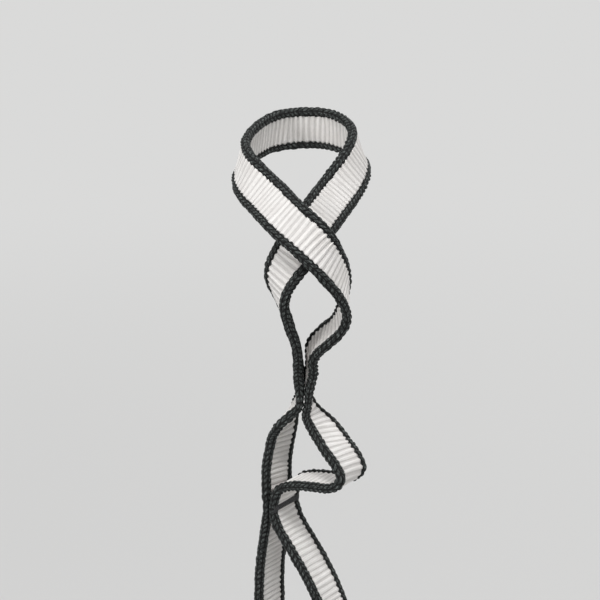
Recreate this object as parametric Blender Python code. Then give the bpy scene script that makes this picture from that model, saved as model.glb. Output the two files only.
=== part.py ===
"""Climbing daisy chain: a strip of sewn webbing with a twisted end loop, five pockets and a tip loop.

Units are metres. +Z is up, +X is to the right and +Y is away from the viewer. The origin is the
middle of the first bar tack, where the end loop is held. The chain hangs straight down from there.
"""
import bmesh
import bpy
import numpy as np
from math import ceil, cos, pi, radians, sin
from mathutils import Vector

# Webbing: a pale ribbed centre between two thick dark woven edges
WEBBING_WIDTH = 0.0170
EDGE_WIDTH = 0.0036
EDGE_THICKNESS = 0.0036
CENTRE_THICKNESS = 0.0028
SEAM_GAP = 0.0003

# Bar tacks: the dense stitching that joins the two strands
TACK_DIAMETER = 0.0040
TACK_OVERHANG = 0.0004
TACK_SIDES = 12
TACK_GAP = 0.0003
STRAND_GAP = 0.0003

# Twisted end loop, which stands up from the tack and leans away from the viewer
LOOP_HEIGHT = 0.100
LOOP_WIDTH = 0.052
LOOP_DEPTH = 0.080

# First pocket, short, whose lower tack lies to the left and is turned
FIRST_POCKET_LENGTH = 0.0450
FIRST_POCKET_SHIFT = 0.0090
FIRST_POCKET_BULGE = 0.0270
FIRST_SPINE_BOW = 0.0042
CHAIN_TURN = radians(37.0)
FIRST_TURN_SHARE = 0.4

# The pockets below it
POCKET_COUNT = 4
POCKET_LENGTH = 0.0850
POCKET_BULGE = 0.0280
SPINE_BOW = 0.0040

# Tip loop, whose lowest inner face is flat
TIP_LOOP_LENGTH = 0.0720
TIP_LOOP_WIDTH = 0.0340

# How closely the rings of a strand follow each other, along it and round its bends
RING_STEP = 0.0100
RING_TURN = radians(20.0)
CURVE_SAMPLES_PER_SPAN = 24
EDGE_SIDES = 8
TIP_BEND_STEPS = 6
SHARP_ANGLE = radians(50.0)

STRAND_OFFSET = (EDGE_THICKNESS + STRAND_GAP) / 2
STRAND_START = TACK_DIAMETER / 2 + TACK_GAP
EDGE_OFFSET = (WEBBING_WIDTH - EDGE_WIDTH) / 2
CENTRE_WIDTH = WEBBING_WIDTH - 2 * (EDGE_WIDTH + SEAM_GAP)

UP = np.array((0.0, 0.0, 1.0))
BACK = np.array((0.0, 1.0, 0.0))
LEFT_TO_RIGHT = np.array((-1.0, 1.0, 1.0))

# Stations of the end loop, from its left foot round to its right foot. Each has the middle of the
# webbing, as shares of the loop's width, depth and height, and the way that its far edge points.
END_LOOP_SHARES = (
    ((-0.01, 0.00, 0.13), (0.0, 1.0, 0.1)),
    ((-0.05, -0.05, 0.26), (-0.2, 1.0, 0.3)),
    ((-0.12, -0.10, 0.38), (-0.2, 0.9, 0.3)),
    ((-0.16, -0.15, 0.50), (-0.5, 0.8, 0.3)),
    ((-0.07, -0.15, 0.60), (-0.7, 0.5, 0.4)),
    ((0.09, -0.05, 0.70), (-0.8, 0.2, 0.6)),
    ((0.24, 0.15, 0.76), (-0.8, 0.1, 0.6)),
    ((0.38, 0.32, 0.83), (-0.6, -0.1, 0.8)),
    ((0.42, 0.45, 0.87), (-0.4, -0.2, 0.9)),
    ((0.34, 0.62, 0.89), (-0.1, -0.2, 1.0)),
    ((0.18, 0.72, 0.90), (0.0, -0.1, 1.0)),
    ((-0.02, 0.74, 0.90), (0.0, -0.1, 1.0)),
    ((-0.22, 0.67, 0.90), (0.1, -0.1, 1.0)),
    ((-0.37, 0.52, 0.89), (0.1, -0.2, 1.0)),
    ((-0.46, 0.35, 0.87), (0.2, -0.3, 0.9)),
    ((-0.43, 0.18, 0.84), (0.4, -0.1, 0.8)),
    ((-0.28, 0.02, 0.79), (0.7, 0.1, 0.7)),
    ((-0.11, -0.16, 0.74), (0.7, 0.2, 0.7)),
    ((0.04, -0.22, 0.68), (0.6, 0.4, 0.6)),
    ((0.18, -0.20, 0.58), (0.4, 0.7, 0.5)),
    ((0.27, -0.14, 0.46), (0.1, 0.9, 0.4)),
    ((0.25, -0.11, 0.35), (-0.1, 1.0, 0.2)),
    ((0.16, -0.08, 0.28), (0.0, 1.0, 0.2)),
    ((0.09, -0.05, 0.24), (-0.1, 1.0, 0.1)),
    ((0.03, -0.03, 0.19), (-0.1, 1.0, 0.0)),
    ((0.02, -0.01, 0.13), (-0.1, 1.0, -0.1)),
)

# Stations of the strands: the share of the pocket's length below the upper tack, then the share of
# the strand's bulge, or of the spine's bow, that it stands out there.
FIRST_SPINE_SHARES = (
    (0.10, 0.25), (0.20, 0.85), (0.32, 1.10), (0.50, 1.00), (0.66, 0.70), (0.82, 0.25), (0.92, 0.04),
)
FIRST_BIGHT_SHARES = (
    (0.13, 0.03), (0.24, 0.25), (0.36, 0.60), (0.47, 0.88), (0.56, 1.00), (0.64, 0.94),
    (0.68, 0.75), (0.70, 0.55), (0.73, 0.32), (0.78, 0.12), (0.85, 0.02), (0.93, 0.00),
)
SPINE_SHARES = ((0.08, 0.05), (0.25, 0.65), (0.45, 1.00), (0.65, 0.80), (0.83, 0.30), (0.94, 0.02))
BIGHT_SHARES = (
    (0.065, 0.02), (0.15, 0.20), (0.28, 0.52), (0.43, 0.80), (0.59, 0.97), (0.72, 1.00),
    (0.82, 0.90), (0.880, 0.68), (0.905, 0.45), (0.925, 0.22), (0.955, 0.04),
)
TIP_LOOP_SHARES = ((0.10, 0.02), (0.24, 0.28), (0.42, 0.68), (0.60, 0.96), (0.76, 0.99))
TIP_BEND_SHARE = 0.76


def clear_scene():
    for item in list(bpy.data.objects):
        bpy.data.objects.remove(item, do_unlink=True)


def finish(name, colour, roughness):
    """A material with one colour and roughness, for a piece made of fibre."""
    material = bpy.data.materials.new(name)
    material.use_nodes = True
    shader = material.node_tree.nodes["Principled BSDF"]
    shader.inputs["Base Color"].default_value = (*colour, 1.0)
    shader.inputs["Roughness"].default_value = roughness
    shader.inputs["Metallic"].default_value = 0.0
    return material


def centre_finish(name):
    return finish(name, (0.76, 0.75, 0.72), 0.55)


def edge_finish(name):
    return finish(name, (0.030, 0.034, 0.034), 0.80)


def thread_finish(name):
    return finish(name, (0.020, 0.022, 0.024), 0.70)


def unit(vectors):
    return vectors / np.linalg.norm(vectors, axis=-1, keepdims=True)


def smooth_curve(knots, values, start_slope, end_slope, at):
    """A cubic spline through the values, with unbroken curvature and given slopes at its ends."""
    spans = np.diff(knots)[:, None]
    steps = np.diff(values, axis=0) / spans
    count = len(knots)
    system = np.eye(count)
    right = np.zeros_like(values)
    right[0] = start_slope
    right[-1] = end_slope
    for i in range(1, count - 1):
        before, after = spans[i - 1, 0], spans[i, 0]
        system[i, i - 1:i + 2] = after, 2 * (before + after), before
        right[i] = 3 * (after * steps[i - 1] + before * steps[i])
    slopes = np.linalg.solve(system, right)
    span = np.clip(np.searchsorted(knots, at, side="right") - 1, 0, count - 2)
    width = spans[span]
    t = (at[:, None] - knots[span][:, None]) / width
    keep = 1 - t
    return (
        values[span] * keep * keep * (1 + 2 * t)
        + values[span + 1] * t * t * (1 + 2 * keep)
        + slopes[span] * width * t * keep * keep
        - slopes[span + 1] * width * t * t * keep
    )


def rings_along(stations, start_heading, end_heading):
    """Places, headings and width directions of a strand's rings, closer together in its bends."""
    places = np.array([place for place, _ in stations])
    widths = np.array([width for _, width in stations])
    knots = np.concatenate(([0.0], np.cumsum(np.linalg.norm(np.diff(places, axis=0), axis=1))))
    at = np.linspace(0.0, knots[-1], CURVE_SAMPLES_PER_SPAN * len(knots))
    line = smooth_curve(knots, places, start_heading, end_heading, at)
    across = smooth_curve(knots, widths, np.zeros(len(UP)), np.zeros(len(UP)), at)
    heading = unit(np.gradient(line, at, axis=0))
    heading[0], heading[-1] = start_heading, end_heading
    across = unit(across - heading * np.sum(across * heading, axis=1, keepdims=True))
    steps = np.linalg.norm(np.diff(line, axis=0), axis=1) / RING_STEP
    bends = np.linalg.norm(np.diff(heading, axis=0), axis=1)
    twists = np.linalg.norm(np.diff(across, axis=0), axis=1)
    measure = np.concatenate(([0.0], np.cumsum(steps + np.maximum(bends, twists) / RING_TURN)))
    rings = np.linspace(0.0, measure[-1], 2 * ceil(measure[-1] / 2))
    where = np.interp(rings, measure, at)

    def read(values):
        return np.stack([np.interp(where, at, values[:, i]) for i in range(len(UP))], axis=1)

    return read(line), unit(read(heading)), unit(read(across))


def centre_outline():
    """Flat section of the pale centre: across the webbing, then through it."""
    half = CENTRE_WIDTH / 2
    face = CENTRE_THICKNESS / 2
    return (-half, -face), (half, -face), (half, face), (-half, face)


def edge_outline(offset):
    """Rounded section of one dark edge."""
    turns = [2 * pi * (i + 0.5) / EDGE_SIDES for i in range(EDGE_SIDES)]
    reach = 1 / cos(pi / EDGE_SIDES)
    return [
        (offset + EDGE_WIDTH / 2 * reach * cos(turn), EDGE_THICKNESS / 2 * reach * sin(turn))
        for turn in turns
    ]


def sweep(name, rings, outline, material, parent):
    """A closed body that carries the outline from ring to ring."""
    mesh = bmesh.new()
    loops = []
    for place, heading, across in zip(*rings):
        through = np.cross(heading, across)
        loops.append([mesh.verts.new(place + across * u + through * v) for u, v in outline])
    for low, high in zip(loops, loops[1:]):
        for i, start in enumerate(low):
            j = (i + 1) % len(low)
            mesh.faces.new((start, low[j], high[j], high[i]))
    mesh.faces.new(loops[0][::-1])
    mesh.faces.new(loops[-1])
    return add_object(name, mesh, material, parent)


def add_object(name, mesh, material, parent):
    data = bpy.data.meshes.new(name)
    mesh.to_mesh(data)
    mesh.free()
    data.materials.append(material)
    data.shade_smooth()
    data.set_sharp_from_angle(angle=SHARP_ANGLE)
    item = bpy.data.objects.new(name, data)
    item.parent = parent
    bpy.context.scene.collection.objects.link(item)
    return item


def add_hinge(name, place, turn):
    """The empty on a tack's axis that carries everything hanging from that tack."""
    hinge = bpy.data.objects.new(name, None)
    hinge.location = Vector(place)
    hinge.rotation_euler = (0.0, 0.0, -turn)
    bpy.context.scene.collection.objects.link(hinge)
    return hinge


def add_strand(name, stations, start_heading, end_heading, parent):
    """One length of webbing: its centre and its near and far edges."""
    rings = rings_along(stations, start_heading, end_heading)
    sweep(name + "_centre", rings, centre_outline(), centre_finish(name + "_centre"), parent)
    for side, offset in (("near", -EDGE_OFFSET), ("far", EDGE_OFFSET)):
        edge = f"{name}_{side}_edge"
        sweep(edge, rings, edge_outline(offset), edge_finish(edge), parent)


def add_tack(number, place, turn, parent):
    """Round bar of thread across the webbing, on the axis that the next length swings about."""
    mesh = bmesh.new()
    bmesh.ops.create_cone(
        mesh, cap_ends=True, segments=TACK_SIDES, radius1=TACK_DIAMETER / 2, radius2=TACK_DIAMETER / 2,
        depth=WEBBING_WIDTH + 2 * TACK_OVERHANG,
    )
    name = f"bar_tack_{number}"
    tack = add_object(name, mesh, thread_finish(name), parent)
    tack.location = Vector(place)
    tack.rotation_euler = (pi / 2, 0.0, -turn)
    return tack


def add_end_loop(parent):
    """The loop crosses over itself once, like a ribbon, and both its feet stand on the first tack."""
    last = len(END_LOOP_SHARES) + 1
    size = np.array((LOOP_WIDTH, LOOP_DEPTH, LOOP_HEIGHT))
    stations = [(np.array((-STRAND_OFFSET, 0.0, STRAND_START)), BACK)]
    for number, (place, width) in enumerate(END_LOOP_SHARES, start=1):
        side = 2 * number / last - 1
        foot = np.array((side * STRAND_OFFSET, 0.0, 0.0))
        stations.append((foot + size * place, unit(np.array(width))))
    stations.append((np.array((STRAND_OFFSET, 0.0, STRAND_START)), BACK))
    add_strand("end_loop", stations, UP, -UP, parent)


def ease(share):
    """A share from 0 to 1 that starts and ends gently."""
    return share * share * (3 - 2 * share)


def turned(angle):
    """The directions out of a pocket and across its webbing, turned by the angle about +Z."""
    return np.array((cos(angle), -sin(angle), 0.0)), np.array((sin(angle), cos(angle), 0.0))


def hanging_stations(shares, side, reach, length, shift, turn):
    """Stations of a strand between two tacks; the lower one lies shift to the left, and turned."""
    top = np.array((side * STRAND_OFFSET, 0.0, -STRAND_START))
    stations = [(top, BACK)]
    for down, stand in shares:
        out, width = turned(turn * ease(min(1.0, down / FIRST_TURN_SHARE)))
        line = np.array((-shift * ease(down), 0.0, -length * down))
        stations.append((line + out * side * (STRAND_OFFSET + stand * reach), width))
    out, width = turned(turn)
    foot = np.array((-shift, 0.0, STRAND_START - length)) + out * side * STRAND_OFFSET
    stations.append((foot, width))
    return stations


def add_pocket(number, spine, bight, length, shift, turn, parent):
    """A pocket: the spine hangs almost straight and the longer bight stands out from it."""
    spine_shares, bow = spine
    bight_shares, bulge = bight
    left = hanging_stations(spine_shares, -1, bow, length, shift, turn)
    right = hanging_stations(bight_shares, 1, bulge, length, shift, turn)
    add_strand(f"pocket_{number}_spine", left, -UP, -UP, parent)
    add_strand(f"pocket_{number}_bight", right, -UP, -UP, parent)
    add_tack(number + 1, (-shift, 0.0, -length), turn, parent)


def add_tip_loop(parent):
    """The last length runs down, round a plain bend and up again to the same tack."""
    half = TIP_LOOP_WIDTH / 2 - STRAND_OFFSET
    down = [(np.array((-STRAND_OFFSET, 0.0, -STRAND_START)), BACK)]
    for low, stand in TIP_LOOP_SHARES:
        place = np.array((-STRAND_OFFSET - stand * half, 0.0, -low * TIP_LOOP_LENGTH))
        down.append((place, BACK))
    drop = TIP_LOOP_LENGTH - EDGE_THICKNESS / 2 - TIP_BEND_SHARE * TIP_LOOP_LENGTH
    bend = []
    for step in range(1, TIP_BEND_STEPS):
        angle = pi * step / TIP_BEND_STEPS
        place = np.array((-cos(angle) * TIP_LOOP_WIDTH / 2, 0.0, -sin(angle) * drop))
        bend.append((place - UP * TIP_BEND_SHARE * TIP_LOOP_LENGTH, BACK))
    up = [(place * LEFT_TO_RIGHT, width) for place, width in reversed(down)]
    add_strand("tip_loop", down + bend + up, -UP, UP, parent)


def main():
    clear_scene()
    top = (0.0, 0.0, 0.0)
    add_tack(1, top, 0.0, None)
    add_end_loop(add_hinge("end_loop_hinge", top, 0.0))

    hinge = add_hinge("pocket_1_hinge", top, 0.0)
    add_pocket(
        1, (FIRST_SPINE_SHARES, FIRST_SPINE_BOW), (FIRST_BIGHT_SHARES, FIRST_POCKET_BULGE),
        FIRST_POCKET_LENGTH, FIRST_POCKET_SHIFT, CHAIN_TURN, hinge,
    )
    drop = FIRST_POCKET_LENGTH
    for number in range(2, POCKET_COUNT + 2):
        hinge = add_hinge(f"pocket_{number}_hinge", (-FIRST_POCKET_SHIFT, 0.0, -drop), CHAIN_TURN)
        add_pocket(
            number, (SPINE_SHARES, SPINE_BOW), (BIGHT_SHARES, POCKET_BULGE),
            POCKET_LENGTH, 0.0, 0.0, hinge,
        )
        drop += POCKET_LENGTH
    add_tip_loop(add_hinge("tip_loop_hinge", (-FIRST_POCKET_SHIFT, 0.0, -drop), CHAIN_TURN))


main()
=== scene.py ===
from math import cos, pi, radians, sin

import bpy
import numpy as np
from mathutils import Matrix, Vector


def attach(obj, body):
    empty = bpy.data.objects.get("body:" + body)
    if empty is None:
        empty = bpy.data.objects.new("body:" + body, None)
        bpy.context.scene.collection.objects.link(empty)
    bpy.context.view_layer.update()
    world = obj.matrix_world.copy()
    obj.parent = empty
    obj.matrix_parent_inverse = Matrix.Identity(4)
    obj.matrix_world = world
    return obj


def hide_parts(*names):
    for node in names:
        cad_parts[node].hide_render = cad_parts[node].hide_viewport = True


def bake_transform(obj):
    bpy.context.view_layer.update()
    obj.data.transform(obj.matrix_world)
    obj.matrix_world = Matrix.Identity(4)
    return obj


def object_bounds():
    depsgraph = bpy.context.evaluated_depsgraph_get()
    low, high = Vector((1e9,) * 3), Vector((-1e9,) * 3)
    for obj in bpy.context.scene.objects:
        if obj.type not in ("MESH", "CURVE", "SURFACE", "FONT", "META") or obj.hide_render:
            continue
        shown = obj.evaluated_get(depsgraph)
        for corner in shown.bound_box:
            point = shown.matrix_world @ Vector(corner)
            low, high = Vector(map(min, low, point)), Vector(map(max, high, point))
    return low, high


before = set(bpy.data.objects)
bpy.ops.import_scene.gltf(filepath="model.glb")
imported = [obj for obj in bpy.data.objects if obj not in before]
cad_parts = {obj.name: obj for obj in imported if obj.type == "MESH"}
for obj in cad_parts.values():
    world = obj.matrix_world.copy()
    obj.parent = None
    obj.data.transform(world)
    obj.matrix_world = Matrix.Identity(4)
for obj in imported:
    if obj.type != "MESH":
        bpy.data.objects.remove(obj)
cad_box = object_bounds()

MM = 0.001

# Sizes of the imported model
WEBBING_WIDTH = 0.0170
EDGE_WIDTH = 0.0036
EDGE_THICKNESS = 0.0036
CENTRE_THICKNESS = 0.0028
STRAND_GAP = 0.0003
LOOP_HEIGHT = 0.100
LOOP_WIDTH = 0.052
LOOP_DEPTH = 0.080
FIRST_POCKET_LENGTH = 0.0450
FIRST_POCKET_SHIFT = 0.0090
FIRST_POCKET_BULGE = 0.0270
FIRST_SPINE_BOW = 0.0042
CHAIN_TURN = radians(37.0)
FIRST_TURN_SHARE = 0.4
POCKET_COUNT = 4
POCKET_LENGTH = 0.0850
POCKET_BULGE = 0.0280
SPINE_BOW = 0.0040
TIP_LOOP_LENGTH = 0.0720
TIP_LOOP_WIDTH = 0.0340
TIP_BEND_SHARE = 0.76
TIP_BEND_STEPS = 6
STRAND_OFFSET = (EDGE_THICKNESS + STRAND_GAP) / 2
EDGE_OFFSET = (WEBBING_WIDTH - EDGE_WIDTH) / 2

# Stations of the end loop, from its left foot round to its right foot: the middle of the webbing, as
# shares of the loop's width, depth and height, and the way that its far edge points
END_LOOP_SHARES = (
    ((-0.01, 0.00, 0.13), (0.0, 1.0, 0.1)),
    ((-0.05, -0.05, 0.26), (-0.2, 1.0, 0.3)),
    ((-0.12, -0.10, 0.38), (-0.2, 0.9, 0.3)),
    ((-0.16, -0.15, 0.50), (-0.5, 0.8, 0.3)),
    ((-0.07, -0.15, 0.60), (-0.7, 0.5, 0.4)),
    ((0.09, -0.05, 0.70), (-0.8, 0.2, 0.6)),
    ((0.24, 0.15, 0.76), (-0.8, 0.1, 0.6)),
    ((0.38, 0.32, 0.83), (-0.6, -0.1, 0.8)),
    ((0.42, 0.45, 0.87), (-0.4, -0.2, 0.9)),
    ((0.34, 0.62, 0.89), (-0.1, -0.2, 1.0)),
    ((0.18, 0.72, 0.90), (0.0, -0.1, 1.0)),
    ((-0.02, 0.74, 0.90), (0.0, -0.1, 1.0)),
    ((-0.22, 0.67, 0.90), (0.1, -0.1, 1.0)),
    ((-0.37, 0.52, 0.89), (0.1, -0.2, 1.0)),
    ((-0.46, 0.35, 0.87), (0.2, -0.3, 0.9)),
    ((-0.43, 0.18, 0.84), (0.4, -0.1, 0.8)),
    ((-0.28, 0.02, 0.79), (0.7, 0.1, 0.7)),
    ((-0.11, -0.16, 0.74), (0.7, 0.2, 0.7)),
    ((0.04, -0.22, 0.68), (0.6, 0.4, 0.6)),
    ((0.18, -0.20, 0.58), (0.4, 0.7, 0.5)),
    ((0.27, -0.14, 0.46), (0.1, 0.9, 0.4)),
    ((0.25, -0.11, 0.35), (-0.1, 1.0, 0.2)),
    ((0.16, -0.08, 0.28), (0.0, 1.0, 0.2)),
    ((0.09, -0.05, 0.24), (-0.1, 1.0, 0.1)),
    ((0.03, -0.03, 0.19), (-0.1, 1.0, 0.0)),
    ((0.02, -0.01, 0.13), (-0.1, 1.0, -0.1)),
)

# Stations of the hanging strands: the share of the pocket's length below the upper tack, then the
# share of the strand's bulge, or of the spine's bow, that it stands out there
FIRST_SPINE_SHARES = (
    (0.10, 0.25), (0.20, 0.85), (0.32, 1.10), (0.50, 1.00), (0.66, 0.70), (0.82, 0.25), (0.92, 0.04),
)
FIRST_BIGHT_SHARES = (
    (0.13, 0.03), (0.24, 0.25), (0.36, 0.60), (0.47, 0.88), (0.56, 1.00), (0.64, 0.94),
    (0.68, 0.75), (0.70, 0.55), (0.73, 0.32), (0.78, 0.12), (0.85, 0.02), (0.93, 0.00),
)
SPINE_SHARES = ((0.08, 0.05), (0.25, 0.65), (0.45, 1.00), (0.65, 0.80), (0.83, 0.30), (0.94, 0.02))
BIGHT_SHARES = (
    (0.065, 0.02), (0.15, 0.20), (0.28, 0.52), (0.43, 0.80), (0.59, 0.97), (0.72, 1.00),
    (0.82, 0.90), (0.880, 0.68), (0.905, 0.45), (0.925, 0.22), (0.955, 0.04),
)
TIP_LOOP_SHARES = ((0.10, 0.02), (0.24, 0.28), (0.42, 0.68), (0.60, 0.96), (0.76, 0.99))

# Weave: the cross ribs of the pale centre, and the slanted cells of the braided edges
RIB_PITCH = 0.0023
ROWS_PER_RIB = 12
RIB_DEPTH = 0.00046
RIB_CALM_SHARE = 0.84
OPEN_BEND_RADIUS = 0.012
RIB_CREST_PROUD = 0.00010
RIB_WANDER = 0.00034
RIB_DRIFT_SHARE = 0.24
RIBS_PER_DRIFT_WAVE = (7.3, 11.9, 19.4)
RIBS_TO_FULL_DRIFT = 2
CENTRE_COLUMNS = 15
CENTRE_TUCK = 0.0007
BRAID_COLUMNS = 6
POINTS_PER_COLUMN = 6
BRAID_DEPTH = 0.00052
BRAID_CREST_PROUD = 0.00020
BRAID_CALM_SHARE = 0.35
BRAID_ROUNDNESS = 2.6
COLUMN_ROUNDNESS = 5.0
BRAID_SLANT_SHARE = 0.80
UNEVEN_SHARE = 0.30
CURVE_SAMPLES_PER_SPAN = 80
STRAND_PATTERN_STEP_MM = 1000.0

# Where two strands are stitched together, the thread pulls them thin and close
TACK_PINCH_SHARE = 0.76
TACK_PINCH_LENGTH = 0.0060
TACK_HALF_GAP = 0.0001
TACK_OFFSET = EDGE_THICKNESS / 2 * TACK_PINCH_SHARE + TACK_HALF_GAP

# Bar tack stitches
THREAD_DIAMETER = 0.00042
STITCH_PITCH = 0.00034
STITCH_HALF_HEIGHT = 0.00175
STITCH_SPAN = 0.0160
STITCH_CROWN = 0.00022
STITCH_DIP = 0.00060
STITCH_DIP_POWER = 6
STITCH_POINTS = 10
THREAD_SIDES = 6

UP = np.array((0.0, 0.0, 1.0))
RIGHT = np.array((1.0, 0.0, 0.0))
BACK = np.array((0.0, 1.0, 0.0))
LEFT_TO_RIGHT = np.array((-1.0, 1.0, 1.0))


def unit(vectors):
    return vectors / np.linalg.norm(vectors, axis=-1, keepdims=True)


def ease(share):
    """A share from 0 to 1 that starts and ends gently."""
    return share * share * (3 - 2 * share)


def smooth_curve(knots, values, start_slope, end_slope, at):
    """A cubic spline through the values, with unbroken curvature and given slopes at its ends."""
    spans = np.diff(knots)[:, None]
    steps = np.diff(values, axis=0) / spans
    count = len(knots)
    system = np.eye(count)
    right = np.zeros_like(values)
    right[0] = start_slope
    right[-1] = end_slope
    for i in range(1, count - 1):
        before, after = spans[i - 1, 0], spans[i, 0]
        system[i, i - 1:i + 2] = after, 2 * (before + after), before
        right[i] = 3 * (after * steps[i - 1] + before * steps[i])
    slopes = np.linalg.solve(system, right)
    span = np.clip(np.searchsorted(knots, at, side="right") - 1, 0, count - 2)
    width = spans[span]
    done = (at[:, None] - knots[span][:, None]) / width
    left = 1 - done
    return (
        values[span] * left * left * (1 + 2 * done)
        + values[span + 1] * done * done * (1 + 2 * left)
        + slopes[span] * width * done * left * left
        - slopes[span + 1] * width * done * done * left
    )


class Strand:
    """The middle line of one length of webbing, which can be read at any distance along it."""

    def __init__(self, stations, start_heading, end_heading, seed):
        places = np.array([place for place, _ in stations])
        widths = np.array([width for _, width in stations])
        knots = np.concatenate(([0.0], np.cumsum(np.linalg.norm(np.diff(places, axis=0), axis=1))))
        at = np.linspace(0.0, knots[-1], CURVE_SAMPLES_PER_SPAN * len(knots))
        self.line = smooth_curve(knots, places, start_heading, end_heading, at)
        across = smooth_curve(knots, widths, np.zeros(len(UP)), np.zeros(len(UP)), at)
        heading = unit(np.gradient(self.line, at, axis=0))
        heading[0], heading[-1] = start_heading, end_heading
        self.across = unit(across - heading * np.sum(across * heading, axis=1, keepdims=True))
        self.through = np.cross(heading, self.across)
        steps = np.linalg.norm(np.diff(self.line, axis=0), axis=1)
        self.distance = np.concatenate(([0.0], np.cumsum(steps)))
        self.length = self.distance[-1]
        bend = np.linalg.norm(np.gradient(heading, self.distance, axis=0), axis=1) * OPEN_BEND_RADIUS
        self.relief = RIB_CALM_SHARE + (1 - RIB_CALM_SHARE) * ease(np.clip(bend, 0.0, 1.0))
        self.ribs = round(self.length / RIB_PITCH)
        self.random = np.random.default_rng(seed)
        self.start_mm = seed * STRAND_PATTERN_STEP_MM

    def rows(self):
        """Each row's place in its rib, from 0 to 1, its rib's number, and its distance along."""
        phase = np.arange(self.ribs * ROWS_PER_RIB + 1) / ROWS_PER_RIB
        drift = np.zeros_like(phase)
        for ribs_per_wave in RIBS_PER_DRIFT_WAVE:
            turn = self.random.uniform(0.0, 2 * pi)
            drift += np.sin(phase / ribs_per_wave * 2 * pi + turn) / len(RIBS_PER_DRIFT_WAVE)
        near_end = np.minimum(phase, self.ribs - phase)
        drift *= RIB_DRIFT_SHARE * np.minimum(1.0, near_end / RIBS_TO_FULL_DRIFT)
        number = np.minimum(np.floor(phase).astype(int), self.ribs - 1)
        return phase - np.floor(phase), number, (phase + drift) / self.ribs * self.length

    def slack(self, distance):
        """0 at both ends and 1 away from them, for shifts that must leave the ends in place."""
        return np.clip(np.minimum(distance, self.length - distance) / RIB_PITCH, 0.0, 1.0)

    def pinch(self, distance):
        """How thick the webbing is, as a share, where the thread of a tack pulls it thin."""
        near_end = np.minimum(distance, self.length - distance)
        free = ease(np.clip(near_end / TACK_PINCH_LENGTH, 0.0, 1.0))
        return TACK_PINCH_SHARE + (1 - TACK_PINCH_SHARE) * free

    def points(self, distance, across, through):
        """Points that lie across and through the webbing by these lengths, at these distances."""
        flat = np.clip(distance, 0.0, self.length).ravel()

        def read(values):
            columns = [np.interp(flat, self.distance, values[:, i]) for i in range(len(UP))]
            return np.stack(columns, axis=1).reshape(*distance.shape, len(UP))

        sideways = read(self.across) * across[..., None]
        return read(self.line) + sideways + read(self.through) * through[..., None]


def rounded(share, roundness):
    """0 at both sides of a braid's cell and 1 on its crest."""
    return 1 - np.abs(2 * share - 1) ** roundness


def uneven(strand, shape):
    """Random shares about 1, one for each rib or cell."""
    return 1 + UNEVEN_SHARE * strand.random.uniform(-1.0, 1.0, shape)


def tube_mesh(name, points, material, layers):
    """A closed body over a grid of points, ring after ring, with named values at its points."""
    rings, sides = points.shape[:2]
    index = np.arange(rings * sides).reshape(rings, sides)
    low, high = index[:-1], index[1:]
    quads = np.stack((low, np.roll(low, -1, axis=1), np.roll(high, -1, axis=1), high), axis=-1)
    faces = quads.reshape(-1, 4).tolist() + [index[0][::-1].tolist(), index[-1].tolist()]
    mesh = bpy.data.meshes.new(name)
    mesh.from_pydata(points.reshape(-1, 3).tolist(), [], faces)
    for layer, values in layers.items():
        at_points = np.broadcast_to(values, (rings, sides)).astype(np.float32)
        mesh.attributes.new(layer, "FLOAT", "POINT").data.foreach_set("value", at_points.ravel())
    mesh.shade_smooth()
    mesh.materials.append(material)
    item = bpy.data.objects.new(name, mesh)
    bpy.context.scene.collection.objects.link(item)
    return item


def centre_piece(name, strand, material):
    """The pale centre: a flat strip with cross ribs, which are deepest where it bends."""
    share, number, along = strand.rows()
    half = WEBBING_WIDTH / 2 - EDGE_WIDTH + CENTRE_TUCK
    columns = np.linspace(-half, half, CENTRE_COLUMNS)
    across = np.concatenate((columns, columns[::-1]))
    face = np.concatenate((-np.ones(CENTRE_COLUMNS), np.ones(CENTRE_COLUMNS)))
    wander = strand.random.uniform(-1.0, 1.0, (strand.ribs + 1, 2))
    at_rib = np.minimum(number + share, strand.ribs)
    bow, skew = (np.interp(at_rib, np.arange(strand.ribs + 1), wander[:, i])[:, None] for i in (0, 1))
    relief = np.interp(along, strand.distance, strand.relief)
    whole = np.sin(pi * share) ** 2 * uneven(strand, strand.ribs)[number]
    # Away from the bends a rib is shallower, and starts to split in two
    split = np.sin(2 * pi * share) ** 2
    crest = (1 - relief * (1 - whole * relief - split * (1 - relief)))[:, None]
    bend = bow * (across / half) ** 2 + skew * (across / half)
    distance = along[:, None] + RIB_WANDER * bend * strand.slack(along)[:, None]
    height = CENTRE_THICKNESS / 2 + RIB_CREST_PROUD - RIB_DEPTH * (1 - crest)
    through = face * height * strand.pinch(distance)
    points = strand.points(distance, np.broadcast_to(across, distance.shape), through)
    layers = {
        "along_mm": strand.start_mm + distance / MM,
        "across_mm": across / MM,
        "crest": crest,
    }
    return tube_mesh(name, points, material, layers)


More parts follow.
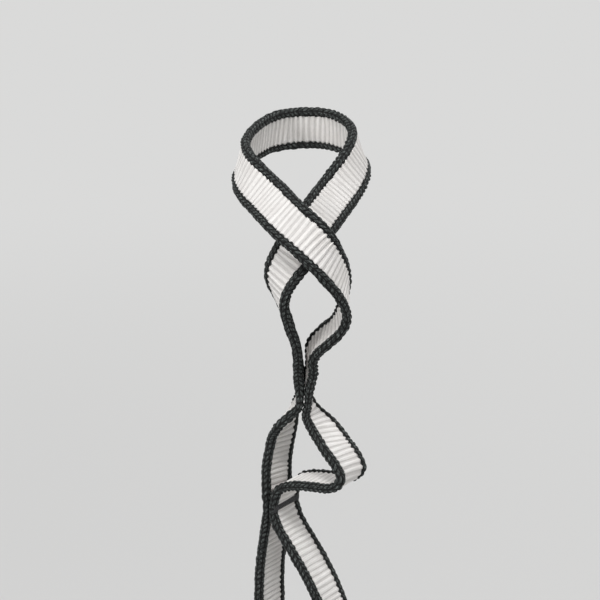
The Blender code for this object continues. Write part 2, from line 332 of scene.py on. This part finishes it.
def edge_piece(name, strand, side, material):
    """One braided edge: a thick cord of slanted cells that meet in chevrons."""
    share, number, along = strand.rows()
    sides = BRAID_COLUMNS * POINTS_PER_COLUMN
    turn = 2 * pi * np.arange(sides) / sides
    column = np.arange(sides) // POINTS_PER_COLUMN
    in_column = np.arange(sides) % POINTS_PER_COLUMN / POINTS_PER_COLUMN
    zigzag = np.where(column % 2 == 0, in_column, 1 - in_column)
    slant = BRAID_SLANT_SHARE * RIB_PITCH * (zigzag - 0.5)
    distance = along[:, None] + slant * strand.slack(along)[:, None]
    cell = uneven(strand, (strand.ribs, BRAID_COLUMNS))[number][:, column]
    crest = rounded(share, BRAID_ROUNDNESS)[:, None] * rounded(in_column, COLUMN_ROUNDNESS)
    calm = 1 - BRAID_CALM_SHARE * np.maximum(0.0, -side * np.cos(turn))
    inset = BRAID_DEPTH * calm * (1 - crest * cell) - BRAID_CREST_PROUD
    across = side * EDGE_OFFSET + np.cos(turn) * (EDGE_WIDTH / 2 - inset)
    through = np.sin(turn) * (EDGE_THICKNESS / 2 - inset) * strand.pinch(distance)
    points = strand.points(distance, across, through)
    layers = {
        "along_mm": strand.start_mm + distance / MM,
        "across_mm": turn * EDGE_WIDTH / 2 / MM,
        "crest": crest,
    }
    return tube_mesh(name, points, material, layers)


def stitch_path(side):
    """The zigzag of one face's thread, as lengths across the webbing, along it and outwards."""
    count = round(STITCH_SPAN / STITCH_PITCH)
    stitch = np.arange(count * STITCH_POINTS + 1) / STITCH_POINTS
    across = (stitch / count - 0.5) * STITCH_SPAN
    along = -np.cos(pi * stitch)
    centre = TACK_OFFSET + CENTRE_THICKNESS / 2 * TACK_PINCH_SHARE
    from_edge = np.clip((np.abs(across) - EDGE_OFFSET) / (EDGE_WIDTH / 2), -1.0, 1.0)
    edge = TACK_OFFSET + EDGE_THICKNESS / 2 * TACK_PINCH_SHARE * np.sqrt(1 - from_edge ** 2)
    surface = np.maximum(centre, edge)
    smooth = np.ones(2 * STITCH_POINTS) / (2 * STITCH_POINTS)
    padded = np.pad(surface, STITCH_POINTS, mode="edge")
    surface = np.convolve(padded, smooth, mode="same")[STITCH_POINTS:-STITCH_POINTS]
    out = surface + STITCH_CROWN * (1 - along ** 2) - STITCH_DIP * along ** STITCH_DIP_POWER
    return across, along * STITCH_HALF_HEIGHT, side * out


def tack_piece(name, place, out, width, material):
    """Dense zigzag stitches over both faces of the two strands."""
    parts = []
    for side in (-1, 1):
        across, along, outward = stitch_path(side)
        line = place + across[:, None] * width + along[:, None] * UP + outward[:, None] * out
        heading = unit(np.gradient(line, axis=0))
        beside = unit(np.cross(heading, side * out))
        above = np.cross(beside, heading)
        turn = 2 * pi * np.arange(THREAD_SIDES) / THREAD_SIDES
        ring = np.cos(turn)[:, None] * above[:, None] + np.sin(turn)[:, None] * beside[:, None]
        points = line[:, None] + ring * THREAD_DIAMETER / 2
        steps = np.linalg.norm(np.diff(line, axis=0), axis=1)
        walked = np.concatenate(([0.0], np.cumsum(steps)))[:, None]
        layers = {"along_mm": walked / MM, "across_mm": turn * THREAD_DIAMETER / 2 / MM}
        parts.append(tube_mesh(f"{name}_{len(parts)}", points, material, layers))
    return join(name, parts)


def join(name, parts):
    """One object that holds the meshes of several, which all lie in the shared frame."""
    with bpy.context.temp_override(active_object=parts[0], selected_editable_objects=parts):
        bpy.ops.object.join()
    parts[0].name = name
    parts[0].data.name = name
    return parts[0]


def turned(angle):
    """The directions out of a pocket and across its webbing, turned by the angle about +Z."""
    return np.array((cos(angle), -sin(angle), 0.0)), np.array((sin(angle), cos(angle), 0.0))


def end_loop_stations():
    """The loop crosses over itself once, like a ribbon, and both its feet stand on the first tack."""
    last = len(END_LOOP_SHARES) + 1
    size = np.array((LOOP_WIDTH, LOOP_DEPTH, LOOP_HEIGHT))
    stations = [(-TACK_OFFSET * RIGHT, BACK)]
    for number, (place, width) in enumerate(END_LOOP_SHARES, start=1):
        side = 2 * number / last - 1
        stations.append((side * STRAND_OFFSET * RIGHT + size * place, unit(np.array(width))))
    stations.append((TACK_OFFSET * RIGHT, BACK))
    return stations


def hanging_stations(shares, side, reach, length, shift, turn):
    """Stations of a strand between two tacks; the lower one lies shift to the left, and turned."""
    stations = [(side * TACK_OFFSET * RIGHT, BACK)]
    for down, stand in shares:
        out, width = turned(turn * ease(min(1.0, down / FIRST_TURN_SHARE)))
        line = np.array((-shift * ease(down), 0.0, -length * down))
        stations.append((line + out * side * (STRAND_OFFSET + stand * reach), width))
    out, width = turned(turn)
    stations.append((np.array((-shift, 0.0, -length)) + out * side * TACK_OFFSET, width))
    return stations


def tip_loop_stations():
    """The last length runs down, round a plain bend and up again to the same tack."""
    half = TIP_LOOP_WIDTH / 2 - STRAND_OFFSET
    down = [(-TACK_OFFSET * RIGHT, BACK)]
    for low, stand in TIP_LOOP_SHARES:
        place = np.array((-STRAND_OFFSET - stand * half, 0.0, -low * TIP_LOOP_LENGTH))
        down.append((place, BACK))
    drop = TIP_LOOP_LENGTH - EDGE_THICKNESS / 2 - TIP_BEND_SHARE * TIP_LOOP_LENGTH
    bend = []
    for step in range(1, TIP_BEND_STEPS):
        angle = pi * step / TIP_BEND_STEPS
        place = np.array((-cos(angle) * TIP_LOOP_WIDTH / 2, 0.0, -sin(angle) * drop))
        bend.append((place - UP * TIP_BEND_SHARE * TIP_LOOP_LENGTH, BACK))
    up = [(place * LEFT_TO_RIGHT, width) for place, width in reversed(down)]
    return down + bend + up


def placed(stations, place, turn):
    """Stations turned about +Z, as the chain below the first pocket is, and moved to their tack."""
    out, width = turned(turn)

    def swing(vector):
        return vector[0] * out + vector[1] * width + vector[2] * UP

    return [(place + swing(point), swing(across)) for point, across in stations]


class Finish:
    """Adds and links the nodes of one material, whose patterns follow the webbing or the thread."""

    def __init__(self, name):
        self.material = bpy.data.materials.new(name)
        self.material.use_nodes = True
        self.tree = self.material.node_tree
        self.shader = self.tree.nodes["Principled BSDF"]
        self.along = self.attribute("along_mm")
        self.across = self.attribute("across_mm")

    def feed(self, socket, value):
        """Links a node's output to the socket, or sets its value."""
        if isinstance(value, bpy.types.NodeSocket):
            self.tree.links.new(value, socket)
        else:
            socket.default_value = value

    def attribute(self, name):
        node = self.tree.nodes.new("ShaderNodeAttribute")
        node.attribute_name = name
        return node.outputs["Fac"]

    def calculate(self, operation, *values):
        node = self.tree.nodes.new("ShaderNodeMath")
        node.operation = operation
        for socket, value in zip(node.inputs, values):
            self.feed(socket, value)
        return node.outputs["Value"]

    def vector(self, x, y, z=0.0):
        node = self.tree.nodes.new("ShaderNodeCombineXYZ")
        for socket, value in zip(node.inputs, (x, y, z)):
            self.feed(socket, value)
        return node.outputs["Vector"]

    def stretched(self, along_mm, across_mm):
        """Coordinates for a pattern whose marks are this long and this wide."""
        lengthwise = self.calculate("DIVIDE", self.along, along_mm)
        crosswise = self.calculate("DIVIDE", self.across, across_mm)
        return self.vector(lengthwise, crosswise)

    def noise(self, vector, scale=1.0, detail=2.0):
        node = self.tree.nodes.new("ShaderNodeTexNoise")
        self.feed(node.inputs["Vector"], vector)
        self.feed(node.inputs["Scale"], scale)
        self.feed(node.inputs["Detail"], detail)
        return node.outputs["Fac"]

    def spread(self, value, low, high, to_low=0.0, to_high=1.0):
        """The value's range from low to high, carried over to another range."""
        node = self.tree.nodes.new("ShaderNodeMapRange")
        for socket, given in zip(node.inputs, (value, low, high, to_low, to_high)):
            self.feed(socket, given)
        return node.outputs["Result"]

    def blend(self, factor, first, second):
        """A colour between two others."""
        node = self.tree.nodes.new("ShaderNodeMix")
        node.data_type = "RGBA"
        colours = [socket for socket in node.inputs if socket.type == "RGBA"]
        self.feed(node.inputs["Factor"], factor)
        for socket, colour in zip(colours, (first, second)):
            self.feed(socket, colour if isinstance(colour, bpy.types.NodeSocket) else (*colour, 1.0))
        return next(socket for socket in node.outputs if socket.type == "RGBA")

    def bump(self, height, distance):
        node = self.tree.nodes.new("ShaderNodeBump")
        self.feed(node.inputs["Distance"], distance)
        self.feed(node.inputs["Height"], height)
        self.feed(self.shader.inputs["Normal"], node.outputs["Normal"])

    def sheen(self, weight, roughness, tint):
        self.shader.inputs["Sheen Weight"].default_value = weight
        self.shader.inputs["Sheen Roughness"].default_value = roughness
        self.shader.inputs["Sheen Tint"].default_value = (*tint, 1.0)


# Finishes. A range says between which values of a pattern, or of the crest, a look changes. A
# roughness is given at both ends of its range, and a sheen is its weight, roughness and tint.
FIBRE_MM = 0.16
FIBRE_DETAIL = 3.0
FIBRE_RANGE = (0.3, 0.7)

# The pale centre
CENTRE_CREST = (0.83, 0.81, 0.79)
# Painted shade: the darker grey that the centre takes in the grooves between its ribs
CENTRE_GROOVE_SHADE = (0.55, 0.53, 0.515)
CENTRE_SOILED = (0.66, 0.63, 0.60)
CENTRE_LIFT_RANGE = (0.0, 0.85)
CENTRE_FIBRE_STRETCH = 8
CENTRE_FIBRE_LIFT = 0.20
YARN_PITCH_MM = 0.74
YARN_LIFT = 0.14
YARN_RELIEF = 0.45
CLOUD_MM = 9.0
CLOUD_RANGE = (0.42, 0.72)
SOILED_SHARE = 0.45
CENTRE_ROUGHNESS = (0.46, 0.62)
CENTRE_BUMP = 0.00005
CENTRE_SHEEN = (0.12, 0.4, (1.0, 0.99, 0.96))

# The dark edges
# Painted shade: the near-black that the braid takes in the grooves between its cells
EDGE_GROOVE_SHADE = (0.001, 0.001, 0.001)
EDGE_CREST = (0.013, 0.015, 0.0145)
# Painted highlight: the pale grey-green of the flecks on the braid's crests
EDGE_FLECK_HIGHLIGHT = (0.140, 0.157, 0.151)
EDGE_CREST_RANGE = (0.30, 0.95)
EDGE_FIBRE_STRETCH = 4
FLECK_LENGTH_MM = 1.4
FLECK_WIDTH_MM = 0.42
FLECK_RANGE = (0.47, 0.66)
FLECK_CREST_RANGE = (0.35, 0.90)
FLECK_FIBRE_RANGE = (0.30, 0.60)
FLECK_FIBRE_SHARES = (0.4, 1.0)
EDGE_ROUGHNESS = (0.55, 0.80)
EDGE_SPECULAR = 0.25
EDGE_BUMP = 0.00006
EDGE_SHEEN = (0.04, 0.35, (0.80, 0.86, 0.84))

# The tacks' thread, whose twist turns by so many radians a millimetre
THREAD_DARK = (0.012, 0.012, 0.013)
THREAD_CREST = (0.040, 0.040, 0.042)
TWIST_ALONG = 14.0
TWIST_ACROSS = 9.5
THREAD_ROUGHNESS = (0.62, 0.42)
THREAD_BUMP = 0.00004
THREAD_SHEEN = (0.15, 0.3, (0.8, 0.8, 0.85))


def centre_finish():
    """Off-white ribbed nylon with painted shade in its grooves, fine yarns along its ribs and a little
    soiling.
    """
    finish = Finish("pale_ribbed_webbing")
    crest = finish.attribute("crest")
    fibres = finish.stretched(FIBRE_MM, FIBRE_MM * CENTRE_FIBRE_STRETCH)
    fibre = finish.noise(fibres, detail=FIBRE_DETAIL)
    cloud = finish.noise(finish.vector(finish.along, finish.across), scale=1 / CLOUD_MM)
    yarn = finish.calculate("SINE", finish.calculate("MULTIPLY", finish.along, 2 * pi / YARN_PITCH_MM))
    soiled = finish.calculate("MULTIPLY", finish.spread(cloud, *CLOUD_RANGE), SOILED_SHARE)
    base = finish.blend(soiled, CENTRE_CREST, CENTRE_SOILED)
    fibre_lift = finish.spread(fibre, *FIBRE_RANGE, -CENTRE_FIBRE_LIFT, CENTRE_FIBRE_LIFT)
    lift = finish.calculate("ADD", crest, fibre_lift)
    lift = finish.calculate("ADD", lift, finish.calculate("MULTIPLY", yarn, YARN_LIFT))
    # Painted shade in the grooves: where the crest, with its fibres and yarns, is low, the colour goes
    # to the groove's darker grey
    shade = finish.spread(lift, *CENTRE_LIFT_RANGE)
    finish.feed(finish.shader.inputs["Base Color"], finish.blend(shade, CENTRE_GROOVE_SHADE, base))
    roughness = finish.spread(fibre, *FIBRE_RANGE, *CENTRE_ROUGHNESS)
    finish.feed(finish.shader.inputs["Roughness"], roughness)
    relief = finish.calculate("ADD", finish.calculate("MULTIPLY", yarn, YARN_RELIEF), fibre)
    finish.bump(relief, CENTRE_BUMP)
    finish.sheen(*CENTRE_SHEEN)
    return finish.material


def edge_finish():
    """Charcoal braid with painted shade, near-black, in its grooves, and painted highlights as pale
    flecks on its crests.
    """
    finish = Finish("charcoal_braided_edge")
    crest = finish.attribute("crest")
    fibres = finish.stretched(FIBRE_MM * EDGE_FIBRE_STRETCH, FIBRE_MM)
    fibre = finish.noise(fibres, detail=FIBRE_DETAIL)
    fleck = finish.noise(finish.stretched(FLECK_LENGTH_MM, FLECK_WIDTH_MM))
    # Painted shade: towards the grooves between the cells the colour goes near-black
    base = finish.blend(finish.spread(crest, *EDGE_CREST_RANGE), EDGE_GROOVE_SHADE, EDGE_CREST)
    # Painted highlights: pale flecks on the crests of the cells, broken up by the fibres
    on_crest = finish.spread(crest, *FLECK_CREST_RANGE)
    pale = finish.calculate("MULTIPLY", finish.spread(fleck, *FLECK_RANGE), on_crest)
    by_fibre = finish.spread(fibre, *FLECK_FIBRE_RANGE, *FLECK_FIBRE_SHARES)
    pale = finish.calculate("MULTIPLY", pale, by_fibre)
    finish.feed(finish.shader.inputs["Base Color"], finish.blend(pale, base, EDGE_FLECK_HIGHLIGHT))
    roughness = finish.spread(fibre, *FIBRE_RANGE, *EDGE_ROUGHNESS)
    finish.feed(finish.shader.inputs["Roughness"], roughness)
    finish.bump(fibre, EDGE_BUMP)
    finish.shader.inputs["Specular IOR Level"].default_value = EDGE_SPECULAR
    finish.sheen(*EDGE_SHEEN)
    return finish.material


def thread_finish():
    """Black twisted thread, a little glossy."""
    finish = Finish("black_tack_thread")
    turn_along = finish.calculate("MULTIPLY", finish.along, TWIST_ALONG)
    turn_across = finish.calculate("MULTIPLY", finish.across, TWIST_ACROSS)
    wave = finish.calculate("SINE", finish.calculate("ADD", turn_along, turn_across))
    twist = finish.spread(wave, -1.0, 1.0)
    finish.feed(finish.shader.inputs["Base Color"], finish.blend(twist, THREAD_DARK, THREAD_CREST))
    finish.feed(finish.shader.inputs["Roughness"], finish.spread(twist, 0.0, 1.0, *THREAD_ROUGHNESS))
    finish.bump(twist, THREAD_BUMP)
    finish.sheen(*THREAD_SHEEN)
    return finish.material


PALE = centre_finish()
DARK = edge_finish()
THREAD = thread_finish()


def dress_strand(node, stations, start_heading, end_heading, seed):
    """The three pieces of one strand, in place of its parts from the imported model."""
    strand = Strand(stations, start_heading, end_heading, seed)
    pieces = [
        (centre_piece(f"{node}_centre_weave", strand, PALE), f"{node}_centre", "webbing_centre"),
        (edge_piece(f"{node}_near_edge_braid", strand, -1, DARK), f"{node}_near_edge", "webbing_edge"),
        (edge_piece(f"{node}_far_edge_braid", strand, 1, DARK), f"{node}_far_edge", "webbing_edge"),
    ]
    for piece, replaced, slot in pieces:
        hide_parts(replaced)
        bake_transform(piece)


def dress_tack(number, place, turn, body):
    out, width = turned(turn)
    piece = tack_piece(f"bar_tack_{number}_stitches", place, out, width, THREAD)
    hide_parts(f"bar_tack_{number}")
    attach(piece, body)


def dress_pocket(number, spine, bight, length, shift, more_turn, above, tack, turn):
    """A pocket and the tack below it. Gives that tack's place, and how far the chain is turned there."""
    body = f"pocket_{number}"
    for side, part, (shares, reach) in ((-1, "spine", spine), (1, "bight", bight)):
        stations = placed(hanging_stations(shares, side, reach, length, shift, more_turn), tack, turn)
        seed = 2 * number + (side + 1) // 2
        dress_strand(f"{body}_{part}", stations, -UP, -UP, seed)
    tack = tack + np.array((-shift, 0.0, -length))
    turn = turn + more_turn
    dress_tack(number + 1, tack, turn, body)
    return tack, turn


def dress_chain():
    """Every length of webbing and every bar tack, from the end loop down to the tip loop."""
    top = np.zeros(len(UP))
    dress_tack(1, top, 0.0, "hold")
    dress_strand("end_loop", end_loop_stations(), UP, -UP, 1)
    first_form = (
        (FIRST_SPINE_SHARES, FIRST_SPINE_BOW),
        (FIRST_BIGHT_SHARES, FIRST_POCKET_BULGE),
        FIRST_POCKET_LENGTH,
        FIRST_POCKET_SHIFT,
        CHAIN_TURN,
    )
    tack, turn = dress_pocket(1, *first_form, "hold", top, 0.0)
    form = ((SPINE_SHARES, SPINE_BOW), (BIGHT_SHARES, POCKET_BULGE), POCKET_LENGTH, 0.0, 0.0)
    last = POCKET_COUNT + 1
    for number in range(2, last + 1):
        tack, turn = dress_pocket(number, *form, f"pocket_{number - 1}", tack, turn)
    stations = placed(tip_loop_stations(), tack, turn)
    dress_strand("tip_loop", stations, -UP, UP, 2 * (last + 1))


# Camera: the photograph's frame, square to the webbing at the hold and looking down on it a little
CAMERA_TILT = radians(20.0)
CAMERA_DISTANCE = 0.8000
CAMERA_RISE = 0.0366
CAMERA_SIDE = -0.00154
CAMERA_LENS_MM = 124.7
CAMERA_SENSOR_MM = 36.0


def add_camera():
    data = bpy.data.cameras.new("camera")
    data.lens = CAMERA_LENS_MM
    data.sensor_width = CAMERA_SENSOR_MM
    camera = bpy.data.objects.new("camera", data)
    camera.location = (
        CAMERA_SIDE,
        CAMERA_RISE * sin(CAMERA_TILT) - CAMERA_DISTANCE * cos(CAMERA_TILT),
        CAMERA_RISE * cos(CAMERA_TILT) + CAMERA_DISTANCE * sin(CAMERA_TILT),
    )
    camera.rotation_euler = (pi / 2 - CAMERA_TILT, 0.0, 0.0)
    bpy.context.scene.collection.objects.link(camera)
    bpy.context.scene.camera = camera


# Stage: a pale floor under the hanging chain, pale air behind it, and soft lamps round it
BACKGROUND = (0.70, 0.70, 0.695)
FLOOR_DROP = 0.045
FLOOR_RADIUS = 2.6
FLOOR_NEAR = 0.35
FLOOR_FAR = 1.9
FLOOR_SIDES = 96
FLOOR_ROUGHNESS = 0.9
AMBIENT = 0.36
LAMPS = (
    # name, place, size, power
    ("key", (-1.0, -0.9, 0.6), 0.4, 7.5),
    ("top", (0.0, -0.8, 1.7), 0.5, 18.0),
    ("right", (1.2, -0.7, 0.7), 0.9, 3.5),
    ("back", (0.7, 1.6, 0.9), 1.2, 10.0),
    ("back_fill", (-1.4, 1.0, -0.1), 1.2, 3.0),
)


def add_world():
    """Soft even light from all round; the camera and glossy surfaces see the pale background."""
    world = bpy.data.worlds.new("air")
    bpy.context.scene.world = world
    world.use_nodes = True
    tree = world.node_tree
    light = tree.nodes["Background"]
    light.inputs["Color"].default_value = (1.0, 1.0, 1.0, 1.0)
    light.inputs["Strength"].default_value = AMBIENT
    seen = tree.nodes.new("ShaderNodeBackground")
    seen.inputs["Color"].default_value = (*BACKGROUND, 1.0)
    seen.inputs["Strength"].default_value = 1.0
    ray = tree.nodes.new("ShaderNodeLightPath")
    direct = tree.nodes.new("ShaderNodeMath")
    direct.operation = "MAXIMUM"
    tree.links.new(ray.outputs["Is Camera Ray"], direct.inputs[0])
    tree.links.new(ray.outputs["Is Glossy Ray"], direct.inputs[1])
    mix = tree.nodes.new("ShaderNodeMixShader")
    tree.links.new(direct.outputs["Value"], mix.inputs["Fac"])
    tree.links.new(light.outputs["Background"], mix.inputs[1])
    tree.links.new(seen.outputs["Background"], mix.inputs[2])
    tree.links.new(mix.outputs["Shader"], tree.nodes["World Output"].inputs["Surface"])


def floor_finish():
    """Pale matt floor that fades into the background, for the camera, with distance from the chain."""
    material = bpy.data.materials.new("pale_floor")
    material.use_nodes = True
    tree = material.node_tree
    shader = tree.nodes["Principled BSDF"]
    shader.inputs["Base Color"].default_value = (*BACKGROUND, 1.0)
    shader.inputs["Roughness"].default_value = FLOOR_ROUGHNESS
    glow = tree.nodes.new("ShaderNodeEmission")
    glow.inputs["Color"].default_value = (*BACKGROUND, 1.0)
    place = tree.nodes.new("ShaderNodeTexCoord")
    length = tree.nodes.new("ShaderNodeVectorMath")
    length.operation = "LENGTH"
    tree.links.new(place.outputs["Object"], length.inputs[0])
    fade = tree.nodes.new("ShaderNodeMapRange")
    fade.interpolation_type = "SMOOTHSTEP"
    fade.inputs["From Min"].default_value = FLOOR_NEAR
    fade.inputs["From Max"].default_value = FLOOR_FAR
    tree.links.new(length.outputs["Value"], fade.inputs["Value"])
    ray = tree.nodes.new("ShaderNodeLightPath")
    seen = tree.nodes.new("ShaderNodeMath")
    seen.operation = "MULTIPLY"
    tree.links.new(fade.outputs["Result"], seen.inputs[0])
    tree.links.new(ray.outputs["Is Camera Ray"], seen.inputs[1])
    mix = tree.nodes.new("ShaderNodeMixShader")
    tree.links.new(seen.outputs["Value"], mix.inputs["Fac"])
    tree.links.new(shader.outputs["BSDF"], mix.inputs[1])
    tree.links.new(glow.outputs["Emission"], mix.inputs[2])
    tree.links.new(mix.outputs["Shader"], tree.nodes["Material Output"].inputs["Surface"])
    return material


def add_floor():
    turns = 2 * pi * np.arange(FLOOR_SIDES) / FLOOR_SIDES
    rim = np.stack((np.cos(turns), np.sin(turns), np.zeros(FLOOR_SIDES)), axis=1) * FLOOR_RADIUS
    mesh = bpy.data.meshes.new("floor")
    mesh.from_pydata(rim.tolist(), [], [list(range(FLOOR_SIDES))])
    mesh.materials.append(floor_finish())
    floor = bpy.data.objects.new("floor", mesh)
    floor.location = (0.0, 0.0, cad_box[0].z - FLOOR_DROP)
    bpy.context.scene.collection.objects.link(floor)


def add_lamps():
    middle = (cad_box[0] + cad_box[1]) / 2
    for name, place, size, power in LAMPS:
        data = bpy.data.lights.new(name, "AREA")
        data.shape = "DISK"
        data.size = size
        data.energy = power
        lamp = bpy.data.objects.new(name, data)
        lamp.location = place
        lamp.rotation_euler = (middle - lamp.location).to_track_quat("-Z", "Y").to_euler()
        bpy.context.scene.collection.objects.link(lamp)


add_camera()
dress_chain()
add_world()
add_floor()
add_lamps()
bpy.context.scene.view_settings.view_transform = "Standard"
